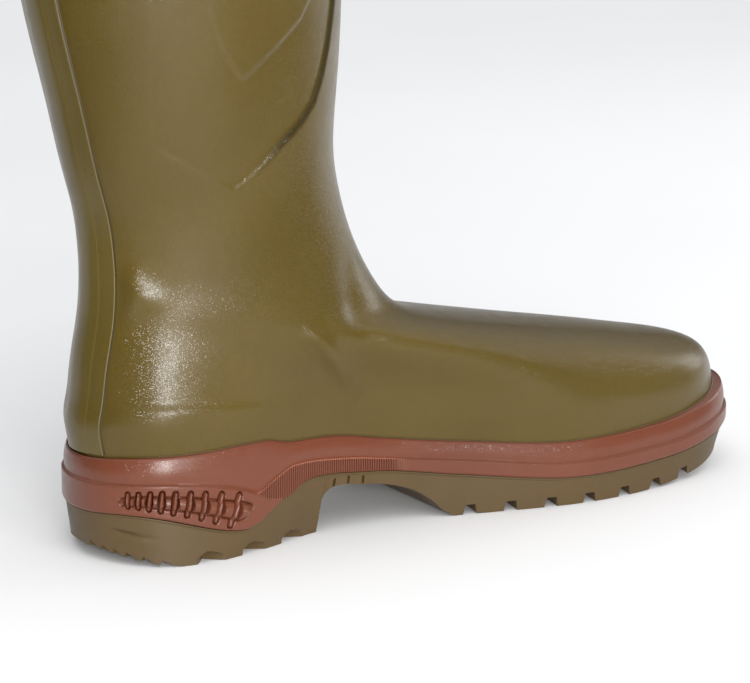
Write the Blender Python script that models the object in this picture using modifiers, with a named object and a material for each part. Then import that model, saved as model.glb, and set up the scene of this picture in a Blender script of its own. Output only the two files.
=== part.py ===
"""A left rubber boot in olive and brown, standing empty on its sole.

Tables are in millimetres: along runs from the heel's back to the toe, across is positive on the medial
(inner) side, height is measured from the floor. The model itself is in metres, toe towards +Y, medial
side towards +X, with the origin at the bottom centre of the boot's bounding box.
"""

import bpy
import numpy as np

MM = 0.001
GAP = 0.3
SOLE_LENGTH = 312.0
TOE_INWARD = 9.0
WALL = 2.4
COLLAR_STEP = 1.0
COLLAR_HEIGHT = 9.0
STAY_HALF = 15.0
STAY_SPINE_HALF = 7.4
STAY_FLANGE = 0.8
STAY_SPINE = 1.7
BAND_TOP_INSET = 1.6
BAND_STEP = 0.8
INSOLE_THICKNESS = 4.0
LUG_DEPTH = 4.0
SCOOP_RUN = 11.0
SCOOP_DEPTH = 6.0
HEEL_CENTRE = 38.5

# Plan of the sole: distance along it, half width on the medial and on the lateral side.
PLAN = np.array([
    (0.0, 0.0, 0.0),
    (2.3, 13.2, 13.2),
    (11.3, 27.2, 27.2),
    (22.2, 34.9, 34.9),
    (40.0, 38.5, 38.5),
    (75.0, 36.5, 38.0),
    (120.0, 33.0, 38.5),
    (165.0, 40.0, 47.0),
    (212.0, 50.0, 54.0),
    (250.0, 47.5, 49.5),
    (280.0, 40.0, 41.0),
    (299.0, 28.2, 28.8),
    (309.0, 14.2, 14.5),
    (312.0, 0.0, 0.0),
])

# Heights of the sole's side lines: along, border of the two colours, step of the band, top of the band,
# lower edge of the upper.
SIDE = np.array([
    (0.0, 20.5, 32.6, 41.8, 31.0),
    (8.0, 21.4, 33.0, 43.1, 31.6),
    (15.0, 21.0, 33.3, 43.8, 32.0),
    (21.4, 19.9, 33.4, 44.1, 32.2),
    (31.0, 17.3, 32.5, 44.3, 32.4),
    (42.0, 13.9, 31.0, 44.6, 32.5),
    (50.0, 11.9, 29.1, 44.9, 32.5),
    (57.0, 11.1, 26.9, 45.0, 32.5),
    (62.7, 12.6, 25.0, 45.0, 32.4),
    (68.7, 16.2, 27.8, 44.8, 32.3),
    (74.4, 19.5, 30.7, 43.4, 32.1),
    (80.5, 22.3, 33.1, 42.3, 31.9),
    (87.0, 25.6, 33.3, 42.0, 31.6),
    (93.0, 26.5, 33.0, 41.7, 31.2),
    (102.0, 26.1, 32.1, 41.0, 30.6),
    (113.0, 24.8, 30.7, 39.2, 29.4),
    (124.0, 23.7, 28.9, 37.0, 27.8),
    (160.0, 18.0, 24.0, 31.8, 22.8),
    (212.0, 12.5, 18.6, 27.5, 18.0),
    (260.0, 14.0, 19.8, 29.0, 19.2),
    (290.0, 18.0, 23.6, 33.0, 23.2),
    (312.0, 22.5, 28.0, 37.5, 27.8),
])
BORDER, STEP, TOP, FEATHER = 1, 2, 3, 4

# Sections of the upper from the sole to the collar. Each is a ring from its back point to its front point:
# half width of its oval, share of its length at which the oval is widest, share of the sole's plan in it,
# inset from that plan, and how far it follows the sole's curve.
SECTIONS = np.array([
    # back, back height, front, front height, half, widest, plan, inset, follow
    (3.6, 31.0, 307.4, 27.8, 48.0, 0.40, 1.00, 3.7, 1.00),
    (3.4, 41.0, 306.4, 37.0, 48.0, 0.40, 1.00, 3.5, 1.00),
    (2.0, 53.0, 303.6, 48.5, 48.5, 0.40, 1.00, 2.4, 1.00),
    (3.4, 62.0, 295.0, 58.0, 48.0, 0.38, 0.94, 2.4, 0.85),
    (4.4, 70.5, 272.0, 64.6, 46.0, 0.36, 0.74, 3.2, 0.55),
    (5.6, 80.0, 237.0, 69.4, 43.6, 0.36, 0.46, 4.0, 0.25),
    (7.6, 91.0, 197.0, 75.0, 41.2, 0.38, 0.22, 4.0, 0.08),
    (9.0, 102.0, 159.0, 82.2, 39.6, 0.41, 0.06, 4.0, 0.00),
    (9.3, 114.0, 140.7, 92.5, 38.6, 0.44, 0.00, 4.0, 0.00),
    (8.9, 125.0, 126.9, 115.0, 38.4, 0.46, 0.00, 4.0, 0.00),
    (7.3, 138.0, 119.0, 138.0, 39.2, 0.47, 0.00, 4.0, 0.00),
    (2.8, 157.0, 115.8, 159.0, 41.8, 0.48, 0.00, 4.0, 0.00),
    (-3.0, 185.0, 117.2, 187.0, 46.4, 0.48, 0.00, 4.0, 0.00),
    (-11.1, 222.0, 118.4, 224.0, 51.4, 0.48, 0.00, 4.0, 0.00),
    (-17.1, 270.0, 119.0, 271.0, 55.8, 0.48, 0.00, 4.0, 0.00),
    (-20.4, 325.0, 121.0, 326.0, 58.4, 0.48, 0.00, 4.0, 0.00),
    (-21.5, 378.0, 121.8, 379.0, 59.6, 0.48, 0.00, 4.0, 0.00),
    (-21.6, 398.0, 122.0, 399.0, 59.8, 0.48, 0.00, 4.0, 0.00),
])

# Underside of the outsole: along, height, inset of its edge from the plan, medial and lateral.
UNDERSIDE = np.array([
    (0.0, 7.0, 3.0, 3.0),
    (4.5, 5.4, 3.0, 3.0),
    (8.0, 4.1, 2.8, 2.8),
    (13.8, 2.5, 2.6, 2.6),
    (20.0, 0.9, 2.4, 2.4),
    (27.0, 0.0, 1.8, 1.8),
    (45.0, 0.0, 1.4, 1.8),
    (57.0, 0.0, 2.6, 2.4),
    (69.0, 0.0, 4.2, 3.2),
    (80.0, 0.0, 6.0, 4.2),
    (97.0, 0.0, 9.0, 5.6),
    (97.4, 8.0, 8.0, 4.8),
    (97.8, 12.5, 6.8, 4.2),
    (98.6, 16.5, 5.0, 3.6),
    (100.0, 18.8, 3.4, 2.8),
    (102.4, 20.0, 2.4, 2.2),
    (106.0, 20.2, 2.0, 2.0),
    (113.0, 19.3, 2.0, 2.0),
    (124.0, 17.7, 2.0, 2.0),
    (138.0, 13.6, 2.2, 2.2),
    (147.0, 8.0, 2.4, 2.4),
    (153.0, 2.5, 2.6, 2.6),
    (158.0, 0.0, 2.8, 2.8),
    (238.0, 0.0, 3.0, 3.0),
    (255.0, 0.8, 3.0, 3.0),
    (275.0, 3.2, 3.2, 3.2),
    (295.0, 7.4, 3.6, 3.6),
    (312.0, 12.6, 4.0, 4.0),
])

# Cross ribs of the heel panel's relief: upper end along and height, lower end along and height.
RIBS = np.array([
    (10.8, 30.5, 10.7, 24.4),
    (14.0, 30.7, 13.7, 24.1),
    (17.7, 30.9, 17.0, 23.5),
    (21.8, 31.0, 21.0, 22.7),
    (26.8, 30.7, 25.6, 21.6),
    (32.8, 30.1, 30.9, 20.2),
    (39.0, 29.3, 36.9, 18.3),
    (46.2, 28.1, 42.9, 16.1),
    (54.3, 26.5, 49.3, 13.4),
])

# Shape of one rib from its lower to its upper end: share of its length, share of its width, height.
RIB_PROFILE = ((0, 0.45, -0.1), (0.1, 0.9, 0.6), (0.5, 1.0, 0.9), (0.9, 0.9, 0.6), (1, 0.45, -0.1))

# Rod through the ribs: along, height of its middle, half of its thickness.
ROD = np.array([
    (8.2, 26.5, 0.3),
    (9.0, 26.6, 1.0),
    (12.4, 27.0, 1.5),
    (15.8, 27.1, 1.7),
    (19.6, 26.8, 2.0),
    (24.1, 26.2, 2.2),
    (28.9, 25.6, 2.4),
    (35.0, 24.4, 2.7),
    (41.2, 22.8, 2.9),
    (48.2, 20.9, 3.3),
    (53.5, 19.3, 3.5),
    (56.8, 19.2, 2.7),
    (58.8, 19.8, 1.4),
    (59.6, 20.0, 0.3),
])

UPPER_T = [0, 0.035, 0.07, 0.11, 0.15, 0.195, 0.24, 0.29, 0.345, 0.4, 0.46,
           0.52, 0.58, 0.64, 0.7, 0.755, 0.81, 0.86, 0.905, 0.95, 1]
BAND_T = [0, 0.035, 0.07, 0.11, 0.15, 0.195, 0.2175, 0.24, 0.265, 0.29, 0.308, 0.326, 0.345, 0.363, 0.381, 0.4,
          0.43, 0.46, 0.49, 0.52, 0.55, 0.58, 0.61, 0.64, 0.67, 0.7, 0.755, 0.81, 0.86, 0.905, 0.95, 1]
UPPER_S = [0, 0.5, 1, 1.5, 2, 2.5, 3, 3.5, 4, 4.5, 5, 5.5, 6, 6.5, 7, 7.5,
           8, 8.5, 9, 9.5, 10.25, 11, 12, 13, 14, 15, 16]

HEEL_GROOVES = (45.0, 66.0)
HEEL_SCOOPS = (35.9, 56.6, 77.3)
HEEL_ARCHES = (34.0, 54.0, 74.0)
HEEL_TEETH = (12.0, 22.0, 31.0, 40.0, 51.0, 63.0, 75.0)
FOREFOOT_GROOVES = (171.0, 189.0, 207.0, 225.0, 243.0, 260.0, 276.0)


def spline(knots, values, at):
    """Natural cubic spline through the values at the knots, column by column."""
    knots = np.asarray(knots, float)
    values = np.asarray(values, float)
    at = np.asarray(at, float)
    gaps = np.diff(knots)
    count = len(knots)
    slopes = (np.diff(values, axis=0).T / gaps).T
    matrix = np.eye(count)
    right = np.zeros_like(values)
    for k in range(1, count - 1):
        matrix[k, k - 1:k + 2] = gaps[k - 1], 2 * (gaps[k - 1] + gaps[k]), gaps[k]
        right[k] = 6 * (slopes[k] - slopes[k - 1])
    bends = np.linalg.solve(matrix, right)
    k = np.clip(np.searchsorted(knots, at, side="right") - 1, 0, count - 2)
    column = (...,) + (None,) * (values.ndim - 1)
    gap = gaps[k][column]
    before = ((knots[k + 1] - at) / gaps[k])[column]
    after = 1 - before
    bent = (before**3 - before) * bends[k] + (after**3 - after) * bends[k + 1]
    return before * values[k] + after * values[k + 1] + bent * gap * gap / 6


def held(knots, values, at):
    """Cubic curve through the values at the knots that never overshoots them."""
    gaps = np.diff(knots)
    slopes = np.diff(values) / gaps
    tangents = np.zeros(len(knots))
    tangents[0], tangents[-1] = slopes[0], slopes[-1]
    for k in range(1, len(knots) - 1):
        if slopes[k - 1] * slopes[k] > 0:
            first = 2 * gaps[k] + gaps[k - 1]
            second = gaps[k] + 2 * gaps[k - 1]
            tangents[k] = (first + second) / (first / slopes[k - 1] + second / slopes[k])
    at = np.clip(np.asarray(at, float), knots[0], knots[-1])
    k = np.clip(np.searchsorted(knots, at, side="right") - 1, 0, len(knots) - 2)
    gap = gaps[k]
    part = (at - knots[k]) / gap
    return ((1 + 2 * part) * (1 - part)**2 * values[k] + part * (1 - part)**2 * gap * tangents[k]
            + part**2 * (3 - 2 * part) * values[k + 1] + part**2 * (part - 1) * gap * tangents[k + 1])


def share(t):
    """Share of a ring's length at ring parameter t, which bunches the points at both ends."""
    return (1 - np.cos(np.pi * np.asarray(t, float))) / 2


def ring_parameter(along):
    return np.arccos(1 - 2 * np.asarray(along, float) / SOLE_LENGTH) / np.pi


def plan_half(t, side):
    """Half width of the sole's plan at ring parameter t, on one side (1 medial, -1 lateral)."""
    return spline(ring_parameter(PLAN[:, 0]), PLAN[:, 1 if side > 0 else 2], t)


def toe_shift(along):
    """How far the foot's middle line turns inward."""
    return TOE_INWARD * np.clip((np.asarray(along, float) - 110) / 200, 0, None)**2


def side_line(column, along):
    return held(SIDE[:, 0], SIDE[:, column], along)


def plan_point(t, side, inset, height):
    """Point of the sole's wall, a given inset inside its plan."""
    half = plan_half(t, side)
    half = half - inset * np.clip(half / 24, 0, 1)
    along = inset + share(t) * (SOLE_LENGTH - 2 * inset)
    return np.stack(np.broadcast_arrays(side * half + toe_shift(along), along, height), -1)


def upper_point(s, t, side):
    """Outer surface of the upper: s climbs the sections, t runs from a ring's back to its front."""
    s, t = np.broadcast_arrays(np.asarray(s, float), np.asarray(t, float))
    columns = np.moveaxis(spline(np.arange(len(SECTIONS)), SECTIONS, s), -1, 0)
    back, back_height, front, front_height, half, widest, plan, inset, follow = columns
    plan = np.clip(plan, 0, 1)
    follow = np.clip(follow, 0, 1)
    f = share(t)
    along = back + (front - back) * f
    chord = SIDE[0, FEATHER] + (SIDE[-1, FEATHER] - SIDE[0, FEATHER]) * f
    height = back_height + (front_height - back_height) * f + follow * (side_line(FEATHER, along) - chord)
    reach = np.where(f < widest, (widest - f) / widest, (f - widest) / (1 - widest))
    oval = half * np.sqrt(np.clip(1 - reach**2, 0, None))
    foot = plan_half(t, side)
    foot = foot - inset * np.clip(foot / 24, 0, 1)
    across = side * (plan * foot + (1 - plan) * oval) + toe_shift(along)
    return np.stack([across, along, height], -1)


def upper_normal(s, t, side):
    """Outward normal of the upper, from its neighbours; the ends of a ring face straight back and forward."""
    step = 0.004
    low, high = np.clip(t - step, 0, 1), np.clip(t + step, 0, 1)
    along_ring = upper_point(s, high, side) - upper_point(s, low, side)
    ends = (np.asarray(t) < 1e-6) | (np.asarray(t) > 1 - 1e-6)
    sign = np.where(np.asarray(t) > 0.5, -1.0, 1.0)
    along_ring[ends] = 0
    along_ring[ends, 0] = side * sign[ends]
    s_low, s_high = np.clip(s - 0.02, 0, len(SECTIONS) - 1), np.clip(s + 0.02, 0, len(SECTIONS) - 1)
    upward = upper_point(s_high, t, side) - upper_point(s_low, t, side)
    normal = side * np.cross(along_ring, upward)
    return normal / np.linalg.norm(normal, axis=-1, keepdims=True)


def upper_at_height(t, side, height):
    """Point of the upper's lower wall at a given height."""
    climb = np.linspace(0, 3, 121)
    found = []
    for one_t, one_height in zip(t, height):
        points = upper_point(climb, np.full_like(climb, one_t), side)
        found.append([np.interp(one_height, points[:, 2], points[:, k]) for k in range(3)])
    return np.array(found)


def centre_along():
    """Middle of the boot's length, from the toe of the band to the stay's back at the collar."""
    back = SECTIONS[-2, 0] - GAP - STAY_SPINE
    return (SOLE_LENGTH + back) / 2


def to_model(points):
    return (np.asarray(points, float) - (0, centre_along(), 0)) * MM


def make_material(name, colour, roughness):
    material = bpy.data.materials.new(name)
    material.use_nodes = True
    shader = material.node_tree.nodes["Principled BSDF"]
    shader.inputs["Base Color"].default_value = (*colour, 1)
    shader.inputs["Roughness"].default_value = roughness
    return material


def make_object(name, points, faces, collection, material=None):
    mesh = bpy.data.meshes.new(name)
    mesh.from_pydata(to_model(points).tolist(), [], faces)
    mesh.update()
    made = bpy.data.objects.new(name, mesh)
    collection.objects.link(made)
    if material:
        mesh.materials.append(material)
    return made


def make_helper(name, points, faces, collection):
    made = make_object(name, points, faces, collection)
    made.hide_render = True
    made.display_type = "WIRE"
    return made


def ring_of(function, t_list):
    """One closed ring: the medial side from the back to the front, then the lateral side back again."""
    t = np.array(t_list, float)
    return np.concatenate([function(t, 1), function(t[1:-1], -1)[::-1]])


def strips(rows, columns, closed=True):
    """Quads between the rows of a grid whose columns run round a ring, or across a strip."""
    faces = []
    for row in range(rows - 1):
        for column in range(columns if closed else columns - 1):
            after = (column + 1) % columns
            faces.append((row * columns + column, row * columns + after,
                          (row + 1) * columns + after, (row + 1) * columns + column))
    return faces


def cap(start, columns, faces_up):
    """Faces across one ring, from its medial to its lateral points."""
    half = columns // 2
    faces = []
    for k in range(half):
        medial, medial_next = start + k, start + k + 1
        lateral, lateral_next = start + (columns - k) % columns, start + columns - k - 1
        face = [medial, lateral, lateral_next, medial_next]
        face = [v for i, v in enumerate(face) if v not in face[:i]]
        faces.append(tuple(face[::-1] if faces_up else face))
    return faces


def closed_rings(rings):
    """Points and faces of a solid from rings that run from its underside to its top."""
    columns = len(rings[0])
    faces = strips(len(rings), columns)
    faces += cap(0, columns, False)
    faces += cap((len(rings) - 1) * columns, columns, True)
    return np.concatenate(rings), faces


def prism(low, high):
    """Points and faces of a solid between two like outlines, the lower one listed anticlockwise from above."""
    count = len(low)
    faces = [tuple(range(count))[::-1], tuple(range(count, 2 * count))]
    for k in range(count):
        after = (k + 1) % count
        faces.append((k, after, count + after, count + k))
    return np.concatenate([low, high]), faces


def stacked(sections):
    """Points and faces of a solid through a row of like closed sections."""
    count = len(sections[0])
    faces = strips(len(sections), count)
    faces.append(tuple(range(count))[::-1])
    last = (len(sections) - 1) * count
    faces.append(tuple(range(last, last + count)))
    return np.concatenate(sections), faces


def add_boolean(target, name, operation, collection):
    modifier = target.modifiers.new(name, "BOOLEAN")
    modifier.operation = operation
    modifier.solver = "EXACT"
    modifier.operand_type = "COLLECTION"
    modifier.collection = collection
    return modifier


def build_upper(collection, material):
    """The open outer surface, thickened inward; the collar ends in a plain raised edge."""
    rows = []
    for s in UPPER_S:
        rows.append(ring_of(lambda t, side, s=s: upper_point(np.full_like(t, s), t, side), UPPER_T))
    top = len(SECTIONS) - 1
    collar_s = top - COLLAR_HEIGHT / (SECTIONS[top, 1] - SECTIONS[top - 1, 1])
    for s, out in ((collar_s, 0), (collar_s + 0.04, COLLAR_STEP), (top, COLLAR_STEP)):
        def edge(t, side, s=s, out=out):
            level = np.full_like(t, s)
            return upper_point(level, t, side) + out * upper_normal(level, t, side) * (1, 1, 0)
        rows.append(ring_of(edge, UPPER_T))
    points = np.concatenate(rows)
    upper = make_object("upper", points, strips(len(rows), len(rows[0])), collection, material)
    shell = upper.modifiers.new("wall", "SOLIDIFY")
    shell.thickness = WALL * MM
    shell.offset = -1
    shell.use_even_offset = True
    return upper


def build_back_stay(collection, material):
    """A strip lifted off the upper's own surface: flat flanges and a rounded spine."""
    across = np.array([-1, -0.96, -0.56, -0.45, -0.24, 0, 0.24, 0.45, 0.56, 0.96, 1]) * STAY_HALF
    spine = np.clip(1 - (across / STAY_SPINE_HALF)**2, 0, None)**0.5
    lift = np.where(spine > 0, STAY_FLANGE + (STAY_SPINE - STAY_FLANGE) * spine, STAY_FLANGE)
    lift[[0, -1]] = 0.35
    levels = [1.26, 1.6, 2, 2.5, 3, 3.5, 4, 4.5, 5, 5.75, 6.5, 7.25, 8, 8.75, 9.5, 10.25, 11, 11.5, 12, 12.5, 13,
              13.5, 14, 14.5, 15, 15.5, 16, 16.45]
    fine = np.linspace(0, 0.25, 251)
    sections = []
    for s in levels:
        reach = np.abs(upper_point(np.full_like(fine, s), fine, 1)[:, 0])
        inner, outer = [], []
        for x, height in zip(across, lift):
            t = np.array([np.interp(abs(x), reach, fine)])
            side = 1 if x >= 0 else -1
            level = np.array([s])
            point = upper_point(level, t, side)[0]
            normal = upper_normal(level, t, side)[0]
            inner.append(point + GAP * normal)
            outer.append(point + (GAP + height) * normal)
        sections.append(np.array(outer + inner[::-1]))
    points, faces = stacked(sections)
    return make_object("back_stay", points, faces, collection, material)


def wall_frame(along, side):
    """Plan position, outward normal and forward tangent of the band's panel."""
    t = ring_parameter(np.array([along - 0.2, along, along + 0.2]))
    points = plan_point(t, side, 0.0, 0.0)
    tangent = points[2] - points[0]
    tangent = tangent / np.linalg.norm(tangent)
    normal = side * np.array([tangent[1], -tangent[0], 0])
    return points[1], normal, tangent


def build_relief(side, helpers):
    """The heel panel's rod and cross ribs on one side, as solids that sink into the panel."""
    for k, (top_along, top_height, low_along, low_height) in enumerate(RIBS):
        half = 0.75 + 0.055 * k
        sections = []
        for part, width, proud in RIB_PROFILE:
            along = low_along + (top_along - low_along) * part
            height = low_height + (top_height - low_height) * part
            place, normal, tangent = wall_frame(along, side)
            w = half * width
            profile = [(-w, -1.2), (w, -1.2), (w, proud - 0.4), (0, proud), (-w, proud - 0.4)]
            if side < 0:
                profile = profile[::-1]
            sections.append([place + (0, 0, height) + a * tangent + b * normal for a, b in profile])
        points, faces = stacked([np.array(section) for section in sections])
        faces = [face[::-1] for face in faces]
        make_helper(f"relief_rib_{'medial' if side > 0 else 'lateral'}_{k + 1}", points, faces, helpers)
    sections = []
    for along, height, half in ROD:
        place, normal, tangent = wall_frame(along, side)
        proud = 1.1 * min(1, half / 1.5)
        profile = [(-half, -1.2), (half, -1.2), (half, 0.02), (0.6 * half, 0.75 * proud), (0, proud),
                   (-0.6 * half, 0.75 * proud), (-half, 0.02)]
        if side < 0:
            profile = profile[::-1]
        sections.append([place + (0, 0, height + a) + b * normal for a, b in profile])
    points, faces = stacked([np.array(section) for section in sections])
    make_helper(f"relief_rod_{'medial' if side > 0 else 'lateral'}", points, faces, helpers)


def build_band(collection, helpers, material):
    """The brown tray: plate, side wall with its step, and the rim round the foot of the upper."""
    def wall(inset, column, lift):
        def place(t, side):
            along = inset + share(t) * (SOLE_LENGTH - 2 * inset)
            return plan_point(t, side, inset, side_line(column, along) + lift)
        return ring_of(place, BAND_T)

    def inner(column, lift):
        """The tray's inner wall, on the same flats as the faceted upper that stands in it."""
        def on_upper(t, side):
            level = np.full_like(t, 0.6)
            along = upper_point(level, t, side)[:, 1]
            height = side_line(column, along) + lift
            point = upper_at_height(t, side, np.maximum(height, side_line(FEATHER, along)))
            point[:, 2] = height
            flat = upper_normal(level, t, side) * (1, 1, 0)
            return point + GAP * flat / np.linalg.norm(flat, axis=1, keepdims=True)

        def place(t, side):
            coarse = np.array(UPPER_T, float)
            corners = on_upper(coarse, side)
            return np.stack([np.interp(t, coarse, corners[:, k]) for k in range(3)], -1)
        return ring_of(place, BAND_T)

    rings = [
        wall(0.7, BORDER, 0.0),
        wall(0.0, BORDER, 0.9),
        wall(0.0, STEP, -0.3),
        wall(BAND_STEP, STEP, 0.3),
        wall(BAND_TOP_INSET, TOP, -0.5),
        inner(TOP, 0.0),
        inner(FEATHER, -GAP),
    ]
    points, faces = closed_rings(rings)
    band = make_object("midsole_band", points, faces, collection, material)
    for side in (1, -1):
        build_relief(side, helpers)
    add_boolean(band, "heel relief", "UNION", helpers)
    return band


def under_height(along):
    return held(UNDERSIDE[:, 0], UNDERSIDE[:, 1], along)


def under_inset(along, side):
    return held(UNDERSIDE[:, 0], UNDERSIDE[:, 2 if side > 0 else 3], along)


def outsole_edge(along, side):
    """Across position of the outsole's lower edge."""
    t = ring_parameter(np.array([along], float))
    return plan_point(t, side, float(under_inset(along, side)), 0.0)[0, 0]


def build_outsole(collection, helpers, material):
    """The olive outsole: heel block, arch and forefoot as one loft, then its lugs cut from below."""
    steep = ring_parameter(np.array([97.0, 97.4, 97.8, 98.6, 100.0, 102.4, 147.0, 153.0, 158.0]))
    t_list = np.unique(np.round(np.concatenate([BAND_T, steep]), 5))
    keep = [t for t in t_list if t in np.round(steep, 5) or np.min(np.abs(t - steep)) > 0.006]

    def lower(t, side):
        along = share(t) * SOLE_LENGTH
        inset = under_inset(along, side)
        half = plan_half(t, side)
        half = half - inset * np.clip(half / 24, 0, 1)
        shifted = along + inset * (1 - np.clip(along / 20, 0, 1)) - inset * np.clip((along - 280) / 32, 0, 1)
        return np.stack([side * half + toe_shift(shifted), shifted, under_height(along)], -1)

    def upper_edge(inset, lift):
        def place(t, side):
            along = inset + share(t) * (SOLE_LENGTH - 2 * inset)
            return plan_point(t, side, inset, side_line(BORDER, along) + lift)
        return ring_of(place, keep)

    points, faces = closed_rings([ring_of(lower, keep), upper_edge(1.5, -2.2), upper_edge(1.6, -GAP)])
    outsole = make_object("outsole", points, faces, collection, material)
    cut_scoops(helpers)
    cut_teeth(helpers)
    cut_arches(helpers)
    cut_grooves(helpers)
    add_boolean(outsole, "lugs", "DIFFERENCE", helpers)
    return outsole


def cut_scoops(helpers):
    """Notches in the medial side of the heel, deepest in the middle, with a ceiling that falls inward."""
    for k, start in enumerate(HEEL_SCOOPS):
        back, deep, front = [outsole_edge(start + step, 1) for step in (0, SCOOP_RUN / 2, SCOOP_RUN)]
        plan = np.array([
            (back + 4, start), (front + 4, start + SCOOP_RUN), (front + 0.1, start + SCOOP_RUN),
            (deep - SCOOP_DEPTH, start + SCOOP_RUN / 2), (back + 0.1, start),
        ])
        low = np.column_stack([plan, np.full(len(plan), -2.0)])
        high = np.column_stack([plan, (5.4, 5.4, 4.6, 3.0, 4.6)])
        points, faces = prism(low, high)
        make_helper(f"scoop_{k + 1}", points, faces, helpers)


def cut_teeth(helpers):
    """Radial saw teeth on the bevel at the heel's back, medial half: each cut starts with a step and fades out."""
    for k, (start, end) in enumerate(zip(HEEL_TEETH[:-1], HEEL_TEETH[1:])):
        low, high = [], []
        for angle, radius, rise in ((start, 20, 1.3), (end, 20, 0.0), (end, 42, 0.0), (start, 42, 1.3)):
            turn = np.radians(angle)
            across = radius * np.sin(turn)
            along = HEEL_CENTRE - radius * np.cos(turn)
            level = float(under_height(max(along, 0.0))) + max(-along, 0.0) * 0.4
            low.append((across, along, -3.0))
            high.append((across, along, level + rise - 0.05))
        points, faces = prism(np.array(low)[::-1], np.array(high)[::-1])
        make_helper(f"tooth_{k + 1}", points, faces, helpers)


def cut_arches(helpers):
    """Rounded notches in the lateral side of the heel."""
    turns = np.linspace(0, 2 * np.pi, 12, endpoint=False)
    for k, along in enumerate(HEEL_ARCHES):
        edge = outsole_edge(along, -1)
        section = np.column_stack([along + 4.2 * np.cos(turns), 0.4 + 4.6 * np.sin(turns)])
        ends = []
        for across in (edge + 9.0, edge - 6.0):
            ends.append(np.column_stack([np.full(12, across), section]))
        points, faces = stacked(ends)
        make_helper(f"arch_{k + 1}", points, [face[::-1] for face in faces], helpers)


def cut_grooves(helpers):
    """Blind grooves under the heel and chevron grooves across the forefoot."""
    for k, along in enumerate(HEEL_GROOVES):
        plan = np.array([(-22, along - 2), (22, along - 2), (22, along + 2), (-22, along + 2)], float)
        low = np.column_stack([plan, np.full(4, -2.0)])
        high = np.column_stack([plan, np.full(4, 3.0)])
        points, faces = prism(low, high)
        make_helper(f"heel_groove_{k + 1}", points, faces, helpers)
    for k, along in enumerate(FOREFOOT_GROOVES):
        middle = float(toe_shift(along))
        level = float(under_height(along))
        plan = np.array([
            (middle - 70, along - 16), (middle, along - 2.6), (middle + 70, along - 16),
            (middle + 70, along - 10.5), (middle, along + 2.6), (middle - 70, along - 10.5),
        ])
        low = np.column_stack([plan, np.full(6, level - 8)])
        high = np.column_stack([plan, np.full(6, level + LUG_DEPTH)])
        points, faces = prism(low, high)
        make_helper(f"forefoot_groove_{k + 1}", points, faces, helpers)


def build_insole(collection, material):
    """A loose footbed on the midsole plate, inside the upper's wall."""
    clear = SECTIONS[0, 7] + WALL + 1.3

    def level(lift, inset):
        def place(t, side):
            along = inset + share(t) * (SOLE_LENGTH - 2 * inset)
            return plan_point(t, side, inset, side_line(FEATHER, along) + lift)
        return ring_of(place, BAND_T)

    rings = [level(GAP, clear), level(INSOLE_THICKNESS - 1, clear), level(INSOLE_THICKNESS, clear + 1)]
    points, faces = closed_rings(rings)
    return make_object("insole", points, faces, collection, material)


def build_boot():
    scene = bpy.context.scene.collection
    parts = bpy.data.collections.new("rubber_boot")
    scene.children.link(parts)
    reliefs = bpy.data.collections.new("relief_helpers")
    scene.children.link(reliefs)
    cutters = bpy.data.collections.new("lug_cutters")
    scene.children.link(cutters)
    olive = make_material("olive_rubber", (0.162, 0.117, 0.030), 0.42)
    stay_olive = make_material("stay_rubber", (0.162, 0.117, 0.030), 0.42)
    brown = make_material("brown_rubber", (0.216, 0.065, 0.037), 0.45)
    sole_olive = make_material("sole_rubber", (0.156, 0.117, 0.051), 0.6)
    felt = make_material("insole_felt", (0.10, 0.095, 0.085), 0.95)
    build_upper(parts, olive)
    build_back_stay(parts, stay_olive)
    build_band(parts, reliefs, brown)
    build_outsole(parts, cutters, sole_olive)
    build_insole(parts, felt)


for old in list(bpy.data.objects):
    bpy.data.objects.remove(old, do_unlink=True)
build_boot()
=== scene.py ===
"""Scene of a left rubber boot: olive upper and outsole, brown midsole band, pale studio floor.

Tables are in millimetres, as in the part's source: along runs from the heel's back to the toe, across is
positive on the medial side, height is measured from the floor. Meshes are made in metres in the CAD frame.
"""

import bpy
import numpy as np
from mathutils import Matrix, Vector

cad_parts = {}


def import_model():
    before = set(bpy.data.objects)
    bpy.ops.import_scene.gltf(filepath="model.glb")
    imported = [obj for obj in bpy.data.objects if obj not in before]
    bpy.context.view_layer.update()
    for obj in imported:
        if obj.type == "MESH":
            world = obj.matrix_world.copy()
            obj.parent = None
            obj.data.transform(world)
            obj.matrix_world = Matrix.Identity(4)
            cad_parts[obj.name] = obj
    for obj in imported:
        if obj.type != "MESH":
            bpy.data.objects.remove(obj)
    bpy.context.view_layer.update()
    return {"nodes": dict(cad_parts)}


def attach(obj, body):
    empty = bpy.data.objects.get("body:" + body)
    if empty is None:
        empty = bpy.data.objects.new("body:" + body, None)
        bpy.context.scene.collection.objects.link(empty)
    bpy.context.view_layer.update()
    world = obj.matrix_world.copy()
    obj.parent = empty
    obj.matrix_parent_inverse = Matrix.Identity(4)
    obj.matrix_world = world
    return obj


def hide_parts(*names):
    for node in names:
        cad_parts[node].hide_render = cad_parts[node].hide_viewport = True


MM = 0.001
SOLE_LENGTH = 312.0
TOE_INWARD = 9.0
CENTRE_ALONG = 144.25
WALL = 2.4
HEEL_CENTRE = 38.5

# Plan of the sole: distance along it, half width on the medial and on the lateral side.
PLAN = np.array([
    (0.0, 0.0, 0.0),
    (2.3, 13.2, 13.2),
    (11.3, 27.2, 27.2),
    (22.2, 34.9, 34.9),
    (40.0, 38.5, 38.5),
    (75.0, 36.5, 38.0),
    (120.0, 33.0, 38.5),
    (165.0, 40.0, 47.0),
    (212.0, 50.0, 54.0),
    (250.0, 47.5, 49.5),
    (280.0, 40.0, 41.0),
    (299.0, 28.2, 28.8),
    (309.0, 14.2, 14.5),
    (312.0, 0.0, 0.0),
])

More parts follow.
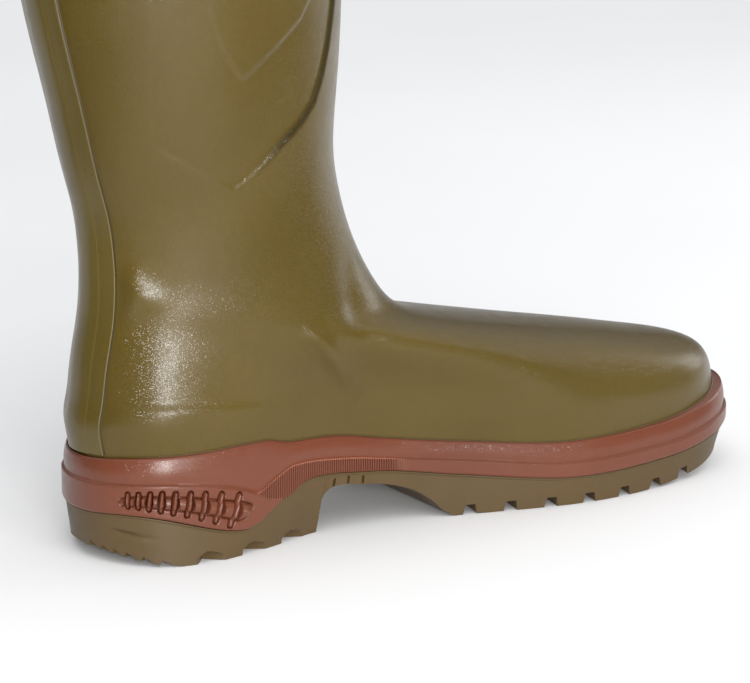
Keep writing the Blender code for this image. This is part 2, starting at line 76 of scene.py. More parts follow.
# Heights of the sole's side lines: along, border of the two colours, step of the band, top of the band,
# lower edge of the upper.
SIDE = np.array([
    (0.0, 20.5, 32.6, 41.8, 31.0),
    (8.0, 21.4, 33.0, 43.1, 31.6),
    (15.0, 21.0, 33.3, 43.8, 32.0),
    (21.4, 19.9, 33.4, 44.1, 32.2),
    (31.0, 17.3, 32.5, 44.3, 32.4),
    (42.0, 13.9, 31.0, 44.6, 32.5),
    (50.0, 11.9, 29.1, 44.9, 32.5),
    (57.0, 11.1, 26.9, 45.0, 32.5),
    (62.7, 12.6, 25.0, 45.0, 32.4),
    (68.7, 16.2, 27.8, 44.8, 32.3),
    (74.4, 19.5, 30.7, 43.4, 32.1),
    (80.5, 22.3, 33.1, 42.3, 31.9),
    (87.0, 25.6, 33.3, 42.0, 31.6),
    (93.0, 26.5, 33.0, 41.7, 31.2),
    (102.0, 26.1, 32.1, 41.0, 30.6),
    (113.0, 24.8, 30.7, 39.2, 29.4),
    (124.0, 23.7, 28.9, 37.0, 27.8),
    (160.0, 18.0, 24.0, 31.8, 22.8),
    (212.0, 12.5, 18.6, 27.5, 18.0),
    (260.0, 14.0, 19.8, 29.0, 19.2),
    (290.0, 18.0, 23.6, 33.0, 23.2),
    (312.0, 22.5, 28.0, 37.5, 27.8),
])
BORDER, STEP, TOP, FEATHER = 1, 2, 3, 4

# Sections of the upper from the sole to the collar, as in the part's source.
SECTIONS = np.array([
    # back, back height, front, front height, half, widest, plan, inset, follow
    (3.6, 31.0, 307.4, 27.8, 48.0, 0.40, 1.00, 3.7, 1.00),
    (3.4, 41.0, 306.4, 37.0, 48.0, 0.40, 1.00, 3.5, 1.00),
    (2.0, 53.0, 303.6, 48.5, 48.5, 0.40, 1.00, 2.4, 1.00),
    (3.4, 62.0, 295.0, 58.0, 48.0, 0.38, 0.94, 2.4, 0.85),
    (4.4, 70.5, 272.0, 64.6, 46.0, 0.36, 0.74, 3.2, 0.55),
    (5.6, 80.0, 237.0, 69.4, 43.6, 0.36, 0.46, 4.0, 0.25),
    (7.6, 91.0, 197.0, 75.0, 41.2, 0.38, 0.22, 4.0, 0.08),
    (9.0, 102.0, 159.0, 82.2, 39.6, 0.41, 0.06, 4.0, 0.00),
    (9.3, 114.0, 140.7, 92.5, 38.6, 0.44, 0.00, 4.0, 0.00),
    (8.9, 125.0, 126.9, 115.0, 38.4, 0.46, 0.00, 4.0, 0.00),
    (7.3, 138.0, 119.0, 138.0, 39.2, 0.47, 0.00, 4.0, 0.00),
    (2.8, 157.0, 115.8, 159.0, 41.8, 0.48, 0.00, 4.0, 0.00),
    (-3.0, 185.0, 117.2, 187.0, 46.4, 0.48, 0.00, 4.0, 0.00),
    (-11.1, 222.0, 118.4, 224.0, 51.4, 0.48, 0.00, 4.0, 0.00),
    (-17.1, 270.0, 119.0, 271.0, 55.8, 0.48, 0.00, 4.0, 0.00),
    (-20.4, 325.0, 121.0, 326.0, 58.4, 0.48, 0.00, 4.0, 0.00),
    (-21.5, 378.0, 121.8, 379.0, 59.6, 0.48, 0.00, 4.0, 0.00),
    (-21.6, 398.0, 122.0, 399.0, 59.8, 0.48, 0.00, 4.0, 0.00),
])

# Underside of the outsole: along, height, inset of its edge from the plan, medial and lateral.
UNDERSIDE = np.array([
    (0.0, 7.0, 3.0, 3.0),
    (4.5, 5.4, 3.0, 3.0),
    (8.0, 4.1, 2.8, 2.8),
    (13.8, 2.5, 2.6, 2.6),
    (20.0, 0.9, 2.4, 2.4),
    (27.0, 0.0, 1.8, 1.8),
    (45.0, 0.0, 1.4, 1.8),
    (57.0, 0.0, 2.6, 2.4),
    (69.0, 0.0, 4.2, 3.2),
    (80.0, 0.0, 6.0, 4.2),
    (97.0, 0.0, 9.0, 5.6),
    (97.4, 8.0, 8.0, 4.8),
    (97.8, 12.5, 6.8, 4.2),
    (98.6, 16.5, 5.0, 3.6),
    (100.0, 18.8, 3.4, 2.8),
    (102.4, 20.0, 2.4, 2.2),
    (106.0, 20.2, 2.0, 2.0),
    (113.0, 19.3, 2.0, 2.0),
    (124.0, 17.7, 2.0, 2.0),
    (138.0, 13.6, 2.2, 2.2),
    (147.0, 8.0, 2.4, 2.4),
    (153.0, 2.5, 2.6, 2.6),
    (158.0, 0.0, 2.8, 2.8),
    (238.0, 0.0, 3.0, 3.0),
    (255.0, 0.8, 3.0, 3.0),
    (275.0, 3.2, 3.2, 3.2),
    (295.0, 7.4, 3.6, 3.6),
    (312.0, 12.6, 4.0, 4.0),
])
UNDER_HEIGHT, MEDIAL_INSET, LATERAL_INSET = 1, 2, 3

# Cross ribs of the heel panel's relief: upper end along and height, lower end along and height.
RIBS = np.array([
    (10.8, 30.5, 10.7, 24.4),
    (14.0, 30.7, 13.7, 24.1),
    (17.7, 30.9, 17.0, 23.5),
    (21.8, 31.0, 21.0, 22.7),
    (26.8, 30.7, 25.6, 21.6),
    (32.8, 30.1, 30.9, 20.2),
    (39.0, 29.3, 36.9, 18.3),
    (46.2, 28.1, 42.9, 16.1),
    (54.3, 26.5, 49.3, 13.4),
])

# Rod through the ribs: along, height of its middle, half of its thickness.
ROD = np.array([
    (8.2, 26.5, 0.3),
    (9.0, 26.6, 1.0),
    (12.4, 27.0, 1.5),
    (15.8, 27.1, 1.7),
    (19.6, 26.8, 2.0),
    (24.1, 26.2, 2.2),
    (28.9, 25.6, 2.4),
    (35.0, 24.4, 2.7),
    (41.2, 22.8, 2.9),
    (48.2, 20.9, 3.3),
    (53.5, 19.3, 3.5),
    (56.8, 19.2, 2.7),
    (58.8, 19.8, 1.4),
    (59.6, 20.0, 0.3),
])

# Front end of the heel panel, where it runs out over the ribbed waist: along, height.
PANEL_TIP = np.array([
    (61.0, 27.5),
    (62.7, 25.0),
    (65.0, 22.9),
    (68.7, 21.1),
    (74.4, 20.4),
    (79.0, 20.2),
])

# Shallow channel moulded into the shaft, seen from the side: along and height of its lower and upper edges.
CHANNEL_LOWER = np.array([
    (13.0, 268.0), (15.5, 240.0), (17.2, 214.0), (18.4, 189.0), (19.3, 178.2), (20.8, 167.3), (23.9, 164.0),
    (36.9, 155.7), (52.2, 147.6), (60.5, 152.9), (71.9, 162.7), (83.2, 171.1), (89.9, 178.1), (94.5, 188.4),
    (97.6, 198.5), (100.4, 212.0), (103.0, 232.0), (105.0, 262.0),
])
CHANNEL_UPPER = np.array([
    (98.0, 258.0), (92.0, 236.0), (86.0, 222.0), (79.2, 211.9), (68.9, 203.7), (61.2, 197.7), (53.6, 191.7),
    (51.5, 191.8), (43.9, 202.9), (38.9, 214.8), (33.5, 230.0), (27.0, 250.0), (22.0, 268.0),
])
CHANNEL_DEPTH = 1.3

# Soft creases beside the ankle: height of the form, its half width, and its line along and up.
CREASES = [
    (2.2, 3.6, ((80.0, 86.5), (86.0, 86.0), (91.0, 83.6), (96.5, 77.0), (103.5, 68.5), (111.0, 59.5))),
    (-1.2, 6.5, ((113.0, 118.0), (111.5, 108.0), (110.5, 98.0), (111.0, 88.0), (115.0, 76.0), (123.0, 62.0))),
]

# Upper edge of the stiffened heel, beside the back stay: along, height.
COUNTER_EDGE = ((12.1, 118.4), (15.4, 113.4), (18.7, 108.4), (22.0, 103.4), (25.3, 98.4))
COUNTER_SWELL = 2.2
COUNTER_SPREAD_ABOVE, COUNTER_SPREAD_BELOW = 5.2, 15.0

# Soft ledge of the upper over the band, at the heel: along, height.
LEDGE_ALONG = (0, 34, 68, 101, 150)
LEDGE_HEIGHT = (63.1, 62.9, 59.1, 56.3, 50.0)
LEDGE_SWELL = 0.85

# Turn of the collar over the top edge and down inside: out and up from the skin's last ring.
COLLAR_SWELL = 1.0
COLLAR_TURN = (
    (-0.25, 0.65), (-0.8, 1.05), (-1.7, 1.2), (-2.6, 1.05),
    (-3.2, 0.6), (-3.4, 0.0), (-3.4, -4.0), (-3.4, -10.0),
)

# Back stay: how far flanges and spine stand off, half the width of the spine, place of the seam, and the
# inner and outer edge of the paler line.
STAY_RAISE = 0.85
SPINE_HALF = 7.6
STAY_SEAM = 7.8
STAY_LINE_FROM, STAY_LINE_TO = 14.4, 14.9

# Softboxes: name, azimuth and elevation seen from the heel, width in metres, power.
SOFTBOXES = (
    ("front", 69, 6, 0.44, 25.0),
    ("side", 95, 8, 0.90, 8.0),
    ("toe_side", 178, 14, 0.80, 5.5),
)
SOFTBOX_AWAY, SOFTBOX_TALL = 1.5, 0.62

# Camera: its target on the boot, angles round from the heel's back and up, distance, sideways turn, lens.
CAMERA_TARGET = (14.547, 77.876, 79.381)
CAMERA_AZIMUTH, CAMERA_ELEVATION = 60.0, 13.5
CAMERA_AWAY = 1.150
CAMERA_SIDEWAYS = 0.0457
CAMERA_LENS = 138.3

# Tread and wall of the outsole: places along it, or degrees round the heel for its teeth, and depths.
HEEL_GROOVES = (45.0, 66.0)
HEEL_GROOVE_DEPTH = 3.0
HEEL_SCOOPS = (35.9, 56.6, 77.3)
SCOOP_RUN = 11.0
SCOOP_DEPTH = 6.0
HEEL_ARCHES = (34.0, 54.0, 74.0)
ARCH_DEPTH = 7.5
HEEL_TEETH = (12.0, 22.0, 31.0, 40.0, 51.0, 63.0, 75.0)
TEETH_DEPTH = 2.4
FOREFOOT_GROOVES = (171.0, 189.0, 207.0, 225.0, 243.0, 260.0, 276.0)
FOREFOOT_GROOVE_DEPTH = 4.0
GROOVE_SLANT = 0.19
WAIST_SLITS = (101.9, 108.6, 115.6)
SLIT_DEPTH = 2.2
DENT_ALONG, DENT_HEIGHT = 10.0, 13.2
DENT_DEPTH = 1.3

# Fine ribs of the band's waist, depth of the slots round the heel panel's ribs, and the beaded edging.
FINE_RIBS = 70
FINE_RIBS_FROM, FINE_RIBS_TO = 61.5, 137.0
SLOT_DEPTH = 1.3
BEAD_PITCH = 1.3


def spline(knots, values, at):
    """Natural cubic spline through the values at the knots, column by column."""
    knots = np.asarray(knots, float)
    values = np.asarray(values, float)
    at = np.asarray(at, float)
    gaps = np.diff(knots)
    count = len(knots)
    slopes = (np.diff(values, axis=0).T / gaps).T
    matrix = np.eye(count)
    right = np.zeros_like(values)
    for k in range(1, count - 1):
        matrix[k, k - 1:k + 2] = gaps[k - 1], 2 * (gaps[k - 1] + gaps[k]), gaps[k]
        right[k] = 6 * (slopes[k] - slopes[k - 1])
    bends = np.linalg.solve(matrix, right)
    k = np.clip(np.searchsorted(knots, at, side="right") - 1, 0, count - 2)
    column = (...,) + (None,) * (values.ndim - 1)
    gap = gaps[k][column]
    before = ((knots[k + 1] - at) / gaps[k])[column]
    after = 1 - before
    bent = (before**3 - before) * bends[k] + (after**3 - after) * bends[k + 1]
    return before * values[k] + after * values[k + 1] + bent * gap * gap / 6


def held(knots, values, at):
    """Cubic curve through the values at the knots that never overshoots them."""
    gaps = np.diff(knots)
    slopes = np.diff(values) / gaps
    tangents = np.zeros(len(knots))
    tangents[0], tangents[-1] = slopes[0], slopes[-1]
    for k in range(1, len(knots) - 1):
        if slopes[k - 1] * slopes[k] > 0:
            first = 2 * gaps[k] + gaps[k - 1]
            second = gaps[k] + 2 * gaps[k - 1]
            tangents[k] = (first + second) / (first / slopes[k - 1] + second / slopes[k])
    at = np.clip(np.asarray(at, float), knots[0], knots[-1])
    k = np.clip(np.searchsorted(knots, at, side="right") - 1, 0, len(knots) - 2)
    gap = gaps[k]
    part = (at - knots[k]) / gap
    return ((1 + 2 * part) * (1 - part)**2 * values[k] + part * (1 - part)**2 * gap * tangents[k]
            + part**2 * (3 - 2 * part) * values[k + 1] + part**2 * (part - 1) * gap * tangents[k + 1])


def rise(low, high, value):
    """Smooth step from 0 at low to 1 at high."""
    part = np.clip((value - low) / (high - low), 0, 1)
    return part * part * (3 - 2 * part)


def share(t):
    return (1 - np.cos(np.pi * np.asarray(t, float))) / 2


def ring_parameter(along):
    return np.arccos(1 - 2 * np.asarray(along, float) / SOLE_LENGTH) / np.pi


def plan_half(t, side):
    """Half width of the sole's plan at ring parameter t, on one side (1 medial, -1 lateral)."""
    knots = ring_parameter(PLAN[:, 0])
    return np.where(np.asarray(side) > 0, spline(knots, PLAN[:, 1], t), spline(knots, PLAN[:, 2], t))


def toe_shift(along):
    return TOE_INWARD * np.clip((np.asarray(along, float) - 110) / 200, 0, None)**2


def side_line(column, along):
    return held(SIDE[:, 0], SIDE[:, column], along)


def plan_point(t, side, inset, height):
    """Point of the sole's wall, a given inset inside its plan."""
    half = plan_half(t, side)
    half = half - inset * np.clip(half / 24, 0, 1)
    along = inset + share(t) * (SOLE_LENGTH - 2 * inset)
    return np.stack(np.broadcast_arrays(side * half + toe_shift(along), along, height), -1)


def upper_point(s, t, side):
    """Outer surface of the upper: s climbs the sections, t runs from a ring's back to its front."""
    s, t = np.broadcast_arrays(np.asarray(s, float), np.asarray(t, float))
    columns = np.moveaxis(spline(np.arange(len(SECTIONS)), SECTIONS, s), -1, 0)
    back, back_height, front, front_height, half, widest, plan, inset, follow = columns
    plan = np.clip(plan, 0, 1)
    follow = np.clip(follow, 0, 1)
    f = share(t)
    along = back + (front - back) * f
    chord = SIDE[0, FEATHER] + (SIDE[-1, FEATHER] - SIDE[0, FEATHER]) * f
    height = back_height + (front_height - back_height) * f + follow * (side_line(FEATHER, along) - chord)
    reach = np.where(f < widest, (widest - f) / widest, (f - widest) / (1 - widest))
    oval = half * np.sqrt(np.clip(1 - reach**2, 0, None))
    foot = plan_half(t, side)
    foot = foot - inset * np.clip(foot / 24, 0, 1)
    across = side * (plan * foot + (1 - plan) * oval) + toe_shift(along)
    return np.stack([across, along, height], -1)


def make_ring(t_list):
    """Ring parameters and sides of one closed ring: medial from back to front, then lateral back again."""
    t = np.asarray(t_list, float)
    ring = np.concatenate([t, t[1:-1][::-1]])
    side = np.concatenate([np.ones(len(t)), -np.ones(len(t) - 2)])
    return ring, side


def plan_arc(along):
    """Distance round the medial plan from the heel's back to a place along the sole."""
    t = np.linspace(0, 1, 6001)
    points = plan_point(t, 1.0, 0.0, 0.0)
    arc = np.concatenate([[0], np.cumsum(np.linalg.norm(np.diff(points, axis=0), axis=1))])
    return np.interp(ring_parameter(along), t, arc)


def zone_columns(zones):
    """Ring parameters spaced by zones of the sole's length, each with its own spacing round the plan."""
    fine = np.linspace(0, 1, 6001)
    arc = plan_arc(share(fine) * SOLE_LENGTH)
    places = []
    for start, end, spacing in zones:
        low, high = plan_arc(start), plan_arc(end)
        count = max(2, int(round((high - low) / spacing)))
        places.append(np.linspace(low, high, count, endpoint=False))
    places.append([arc[-1]])
    return np.interp(np.concatenate(places), arc, fine)


def unit(vectors):
    return vectors / np.clip(np.linalg.norm(vectors, axis=-1, keepdims=True), 1e-9, None)


def grid_normals(grid):
    """Outward normals of a grid of rows that climb and columns that run round a ring."""
    round_ring = np.roll(grid, -1, axis=1) - np.roll(grid, 1, axis=1)
    return unit(np.cross(round_ring, np.gradient(grid, axis=0)))


def flat_normals(ring):
    """Outward normals in plan of one closed ring."""
    tangent = np.roll(ring, -1, axis=0) - np.roll(ring, 1, axis=0)
    return unit(np.stack([tangent[:, 1], -tangent[:, 0], np.zeros(len(ring))], -1))


def line_distance(along, height, line, closed=False):
    """Distance in the side view to a line of points, and the nearest place as a share of its length."""
    line = np.asarray(line, float)
    ends = np.roll(line, -1, axis=0) if closed else line[1:]
    starts = line if closed else line[:-1]
    lengths = np.linalg.norm(ends - starts, axis=1)
    before = np.concatenate([[0], np.cumsum(lengths)])
    best = np.full(np.shape(along), 1e9)
    place = np.zeros(np.shape(along))
    for start, end, length, so_far in zip(starts, ends, lengths, before):
        step = (end - start) / length
        part = np.clip((along - start[0]) * step[0] + (height - start[1]) * step[1], 0, length)
        away = np.hypot(along - start[0] - part * step[0], height - start[1] - part * step[1])
        nearer = away < best
        best = np.where(nearer, away, best)
        place = np.where(nearer, so_far + part, place)
    return best, place / before[-1]


def inside_outline(along, height, outline):
    """Whether points of the side view lie inside a closed outline."""
    inside = np.zeros(np.shape(along), bool)
    for (a0, h0), (a1, h1) in zip(outline, np.roll(outline, -1, axis=0)):
        crosses = (h0 > height) != (h1 > height)
        level = np.where(crosses, a0 + (height - h0) * (a1 - a0) / (h1 - h0 + 1e-12), -1e9)
        inside ^= crosses & (along < level)
    return inside


def to_model(points):
    return (np.asarray(points, float) - (0, CENTRE_ALONG, 0)) * MM


def add_piece(name, points, faces, material, sharp=None):
    """One mesh object, smooth, with edges sharper than the angle (in degrees) kept sharp."""
    mesh = bpy.data.meshes.new(name)
    mesh.from_pydata(to_model(points).tolist(), [], faces)
    mesh.validate()
    mesh.shade_smooth()
    if sharp:
        mesh.set_sharp_from_angle(angle=np.radians(sharp))
    mesh.materials.append(material)
    piece = bpy.data.objects.new(name, mesh)
    bpy.context.scene.collection.objects.link(piece)
    return piece


def set_painted_shade_and_highlight(piece, shade):
    """Gives each point its share of painted shade in the material's darker tone, or of painted highlight in a
    paler one where it is negative.
    """
    painted_shade_and_highlight = piece.data.attributes.new("painted_shade_and_highlight", "FLOAT", "POINT")
    painted_shade_and_highlight.data.foreach_set("value", shade.ravel().astype(np.float32))


def grid_faces(rows, columns, closed=True):
    """Four-sided faces of a grid of points, whose columns may close into rings."""
    row = np.arange(rows - 1)[:, None] * columns
    column = np.arange(columns if closed else columns - 1)[None, :]
    after = (column + 1) % columns
    faces = np.stack([row + column, row + after, row + columns + after, row + columns + column], -1)
    return faces.reshape(-1, 4).tolist()


def upper_levels():
    """Section levels of the upper's rows, close together where its relief is."""
    heights = np.concatenate([
        np.arange(31, 48, 2.0), np.arange(48, 130, 1.15), np.arange(130, 225, 1.0), np.arange(225, 275, 2.2),
        np.arange(275, 388, 5.0), [388.0, 388.8, 389.4, 390.0, 391.0, 394.0, 396.5, 398.0],
    ])
    return np.interp(heights, SECTIONS[:, 1], np.arange(len(SECTIONS)))


def channel_share(along, height):
    """How deep the shaft's channel is from place to place: shallow at the back, and run out at the top."""
    return (1 - rise(215, 262, height)) * (0.15 + 0.85 * rise(42, 74, along))


def channel_shade(points):
    """Painted shade: a darker tone along the steep front edge of the shaft's channel."""
    along, height = points[..., 1], points[..., 2]
    away, _ = line_distance(along, height, CHANNEL_LOWER)
    return np.exp(-(away / 1.45)**2) * channel_share(along, height) * rise(56, 78, along)


def upper_relief(points):
    """How far the skin stands off the plain upper: channel, creases, stiffened heel, ledge over the band."""
    along, height = points[..., 1], points[..., 2]
    outline = np.concatenate([CHANNEL_LOWER, CHANNEL_UPPER])
    away, _ = line_distance(along, height, outline, closed=True)
    depth = np.where(inside_outline(along, height, outline), rise(-0.9, 1.5, away), rise(-0.9, 1.5, -away))
    relief = -CHANNEL_DEPTH * depth * channel_share(along, height)
    for tall, wide, line in CREASES:
        away, place = line_distance(along, height, line)
        ends = rise(0, 0.25, place) * (1 - 0.6 * rise(0.75, 1, place))
        relief = relief + tall * np.exp(-(away / wide)**2) * ends
    away, place = line_distance(along, height, COUNTER_EDGE)
    above = height > np.interp(along, [a for a, _ in COUNTER_EDGE], [h for _, h in COUNTER_EDGE])
    spread = np.where(above, COUNTER_SPREAD_ABOVE, COUNTER_SPREAD_BELOW)
    counter = np.exp(-(away / spread)**2) * rise(0, 0.3, place) * (1 - rise(0.55, 1.0, place))
    ledge = np.interp(along, LEDGE_ALONG, LEDGE_HEIGHT)
    lip = np.clip((height - 46.0) / 15.0, 0, 1) * (1 - rise(ledge - 1.2, ledge + 2.8, height))
    lip = lip * (1 - rise(42, 86, along))
    beside_stay = rise(15.6, 22.5, np.abs(points[..., 0]))
    return relief + (LEDGE_SWELL * lip + COUNTER_SWELL * counter) * beside_stay


def build_upper(material):
    """The upper's outer skin with its relief, and the rounded collar that turns inward."""
    t = np.concatenate([
        np.linspace(0, 0.12, 16, endpoint=False),
        np.linspace(0.12, 0.86, 150, endpoint=False),
        np.linspace(0.86, 1, 20),
    ])
    ring, side = make_ring(t)
    grid = upper_point(upper_levels()[:, None], ring[None, :], side[None, :])
    normals = grid_normals(grid)
    collar = rise(387.9, 389.6, grid[..., 2])
    # Painted shade along the front edge of the shaft's channel.
    shade = channel_shade(grid)
    grid = grid + (upper_relief(grid) + COLLAR_SWELL * collar)[..., None] * normals
    flat = unit(normals[-1] * (1, 1, 0))
    turn = [grid[-1] + out * flat + np.array([0, 0, up]) for out, up in COLLAR_TURN]
    grid = np.concatenate([grid, turn])
    shade = np.concatenate([shade, np.zeros((len(turn), len(ring)))])
    upper = add_piece("upper_skin", grid.reshape(-1, 3), grid_faces(*grid.shape[:2]), material)
    set_painted_shade_and_highlight(upper, shade)
    return upper


def build_lining(material):
    """The textile lining inside the wall, from the insole to just under the collar."""
    ring, side = make_ring(np.linspace(0, 1, 91))
    levels = np.concatenate([np.linspace(0.3, 10, 70, endpoint=False), np.linspace(10, 16.6, 40)])
    grid = upper_point(levels[:, None], ring[None, :], side[None, :])
    grid = grid - (WALL + 0.1) * grid_normals(grid)
    rows, columns = grid.shape[:2]
    faces = [face[::-1] for face in grid_faces(rows, columns)]
    return add_piece("lining", grid.reshape(-1, 3), faces, material)


def stay_lift(across):
    """Height of the back stay's profile: flat flanges with a fine bead at the edge, rounded spine, seams."""
    reach = np.abs(across)
    flange = STAY_RAISE * (1 - rise(14.85, 15.4, reach)) - 0.25 * rise(15.2, 15.6, reach)
    edge = 0.12 * np.exp(-((reach - 14.7) / 0.36)**2)
    spine = STAY_RAISE * np.sqrt(np.clip(1 - (reach / SPINE_HALF)**2, 0, None))
    seam = 0.32 * np.exp(-((reach - STAY_SEAM) / 0.5)**2)
    return flange + edge + spine + seam


def between(line, places):
    """Points of a line at places counted in its points, also between two of them."""
    count = np.arange(len(line))
    return np.stack([np.interp(places, count, line[:, axis]) for axis in range(3)], -1)


def build_back_stay(material, line_material):
    """The strip down the back of the shaft, raised off the upper, with a paler line near each edge."""
    reach = np.unique(np.concatenate([
        np.linspace(0, 6.4, 12),
        np.linspace(6.4, 8.9, 14),
        np.linspace(8.9, 13.6, 8),
        np.linspace(13.6, 15.65, 16),
    ]))
    across = np.concatenate([-reach[::-1], reach[1:]])
    heights = np.arange(43.2, 386.6, 1.7)
    levels = np.interp(heights, SECTIONS[:, 1], np.arange(len(SECTIONS)))
    fine = np.linspace(0, 0.22, 331)
    step = 0.03
    lift = stay_lift(across)
    rows = []
    for level in levels:
        below, here, above = (upper_point(level + move, fine, 1.0) for move in (-step, 0.0, step))
        place = np.interp(np.abs(across), here[:, 0], np.arange(len(fine)))
        point = between(here, place)
        climb = between(above - below, place)
        point[:, 0] = across
        climb[:, 0] *= np.sign(across)
        tangent = np.gradient(point, axis=0)
        rows.append(point + lift[:, None] * unit(np.cross(tangent, climb)))
    grid = np.array(rows)
    faces = grid_faces(*grid.shape[:2], closed=False)
    stay = add_piece("back_stay_strip", grid.reshape(-1, 3), faces, material)
    stay.data.materials.append(line_material)
    middle = np.abs(across[1:] + across[:-1]) / 2
    on_line = (middle > STAY_LINE_FROM) & (middle < STAY_LINE_TO)
    stay.data.polygons.foreach_set("material_index", np.tile(on_line, len(heights) - 1).astype(np.int32))
    # Painted shade on the outer slope of each flange, beside the paler line.
    set_painted_shade_and_highlight(stay, np.tile(rise(14.8, 15.0, np.abs(across)), (len(heights), 1)))
    return stay


def ladder_relief(arc, height):
    """Rod and ribs of the heel panel, each rib lying in its own slot and widening towards the rod."""
    rod_arc = plan_arc(ROD[:, 0])
    half = np.interp(arc, rod_arc, ROD[:, 2], left=0.01, right=0.01)
    away = np.abs(height - np.interp(arc, rod_arc, ROD[:, 1]))
    rod = (0.8 + 0.5 * half) * np.clip(half / 1.2, 0, 1) * np.sqrt(np.clip(1 - (away / half)**2, 0, None))
    edge = -0.8 * np.exp(-((away - half - 0.3) / 0.34)**2) * rise(0.3, 1.2, half)
    there = (arc > rod_arc[0]) & (arc < rod_arc[-1])
    relief = np.where(there, np.where(away < half, rod, edge), 0.0)
    nose = np.hypot(arc - rod_arc[-1] + 0.9, height - ROD[-1, 1])
    ahead = arc > rod_arc[-1] - 0.9
    relief = np.where(ahead & (nose > 0.9), -0.9 * np.exp(-((nose - 1.3) / 0.4)**2), relief)
    swell = np.exp(-((arc - plan_arc(56.2)) / 1.9)**2 - ((height - 19.5) / 1.9)**2)
    relief = relief + 0.9 * swell * (relief > 0)
    for k, (top_along, top_height, low_along, low_height) in enumerate(RIBS):
        tip, root = 0.52 + 0.04 * k, 0.98 + 0.075 * k
        low = np.array([plan_arc(low_along), low_height])
        top = np.array([plan_arc(top_along), top_height])
        length = np.linalg.norm(top - low)
        step = (top - low) / length
        part = np.clip((arc - low[0]) * step[0] + (height - low[1]) * step[1], tip, length - tip)
        away = np.hypot(arc - low[0] - part * step[0], height - low[1] - part * step[1])
        middle = np.interp((low[0] + top[0]) / 2, rod_arc, ROD[:, 1])
        rod_half = np.interp((low[0] + top[0]) / 2, rod_arc, ROD[:, 2])
        crossing = (middle - low_height) / (top_height - low_height) * length
        from_rod = np.abs(part - crossing) / np.where(part > crossing, length - crossing, crossing)
        wide = tip + (root - tip) * (1 - from_rod)
        on_rod = 1 - rise(0.6 * rod_half, 1.15 * rod_half, np.abs(part - crossing))
        tall = 0.45 + 0.6 * rise(-0.3, 0.3, part - crossing)
        tall = tall + (0.55 + 0.5 * rod_half - tall) * on_rod
        bead = (tall + SLOT_DEPTH) * np.sqrt(np.clip(1 - (away / wide)**2, 0, None)) - SLOT_DEPTH
        inside = 1 - rise(wide + 0.30, wide + 0.62, away)
        relief = relief * (1 - inside) + bead * inside
    return relief


def fine_rib_wave(arc):
    """Wave of the waist's fine ribs: 1 on a rib, 0 between two."""
    low, high = plan_arc(FINE_RIBS_FROM), plan_arc(FINE_RIBS_TO)
    return 0.5 + 0.5 * np.cos(2 * np.pi * FINE_RIBS * (arc - low) / (high - low))


def panel_share(along, height):
    """1 on the smooth heel panel, 0 on the ribbed waist in front of it."""
    tip = np.interp(along, PANEL_TIP[:, 0], PANEL_TIP[:, 1])
    return np.where(along < 61.0, 1.0, rise(-0.45, 0.35, tip - height)) * (1 - rise(76.0, 79.0, along))


def band_relief(along, arc, height):
    """Relief of the band's lower wall: the heel panel's ladder, and the fine ribs of the waist."""
    panel = panel_share(along, height)
    ribs = -(1 - panel) * (0.10 + 0.85 * (1 - fine_rib_wave(arc))**2) * (1 - rise(127, FINE_RIBS_TO, along))
    return ladder_relief(arc, height) * panel + ribs


def upper_near_band(ring, side, height):
    """Points of the plain upper at given heights, one for each place of a ring."""
    climb = np.linspace(0, 3, 91)
    points = upper_point(climb[:, None], ring[None, :], side[None, :])
    found = np.empty((len(ring), 3))
    for k in range(len(ring)):
        for axis in range(3):
            found[k, axis] = np.interp(height[k], points[:, k, 2], points[:, k, axis])
    return found


def build_band(material):
    """The brown band: lower wall with its relief, step, upper wall, and the rim round the upper."""
    rib_step = (plan_arc(FINE_RIBS_TO) - plan_arc(FINE_RIBS_FROM)) / FINE_RIBS / 5
    t = zone_columns([(0, 7, 0.7), (7, FINE_RIBS_FROM, 0.25), (FINE_RIBS_FROM, FINE_RIBS_TO, rib_step),
                      (FINE_RIBS_TO, 165, 1.2), (165, SOLE_LENGTH, 2.2)])
    ring, side = make_ring(t)
    along = share(ring) * SOLE_LENGTH
    arc = plan_arc(along)
    border, step, top = (side_line(column, along) for column in (BORDER, STEP, TOP))
    flat = flat_normals(plan_point(ring, side, 0.0, 0.0))
    rows = []
    reliefs = []

    def wall(inset, height, relief=0.0):
        point = plan_point(ring, side, inset, 0.0)
        point[:, 2] = height
        rows.append(point + np.asarray(relief)[..., None] * flat)
        reliefs.append(np.broadcast_to(relief, ring.shape))

    low, high = border + 0.8, step - 0.45
    foot = band_relief(along, arc, low)
    wall(1.2, border - 0.25)
    wall(0.5, border - 0.1, 0.5 * foot)
    wall(0.15, border + 0.3, 0.9 * foot)
    for v in np.linspace(0, 1, 46):
        height = low + (high - low) * v
        wall(0.0, height, band_relief(along, arc, height))
    edge = band_relief(along, arc, step - 0.4)
    ledge = len(rows)
    wall(0.12, step - 0.18, 0.45 * edge)
    wall(0.38, step + 0.08)
    wall(0.76, step + 0.28)
    wall(1.0, step + 0.5)
    for v in np.linspace(0.08, 1, 9):
        wall(1.0 + 0.6 * v - 0.4 * np.sin(np.pi * v), step + 0.5 + (top - 1.1 - step - 0.5) * v)
    wall(1.75, top - 0.55)
    wall(2.1, top - 0.15)
    rear = 1 - rise(4, 34, along)
    for drop, gap in ((0.0, 0.45), (0.9, 0.35), (4.5, 0.3)):
        point = upper_near_band(ring, side, top - drop)
        rows.append(point + (gap + 0.75 * rear)[:, None] * flat)
        reliefs.append(np.zeros(len(ring)))
    grid = np.array(rows)
    band = add_piece("band_skin", grid.reshape(-1, 3), grid_faces(*grid.shape[:2]), material, sharp=55)
    # Painted shade in the recesses of the ladder and the fine ribs, and painted highlight on the top ends of
    # the waist's fine ribs.
    shade = rise(0.2, 1.2, -np.array(reliefs))
    waist = (1 - panel_share(along, step)) * (1 - rise(120, FINE_RIBS_TO, along))
    shade[ledge:ledge + 2] -= fine_rib_wave(arc)**2 * waist
    set_painted_shade_and_highlight(band, shade)
    return band


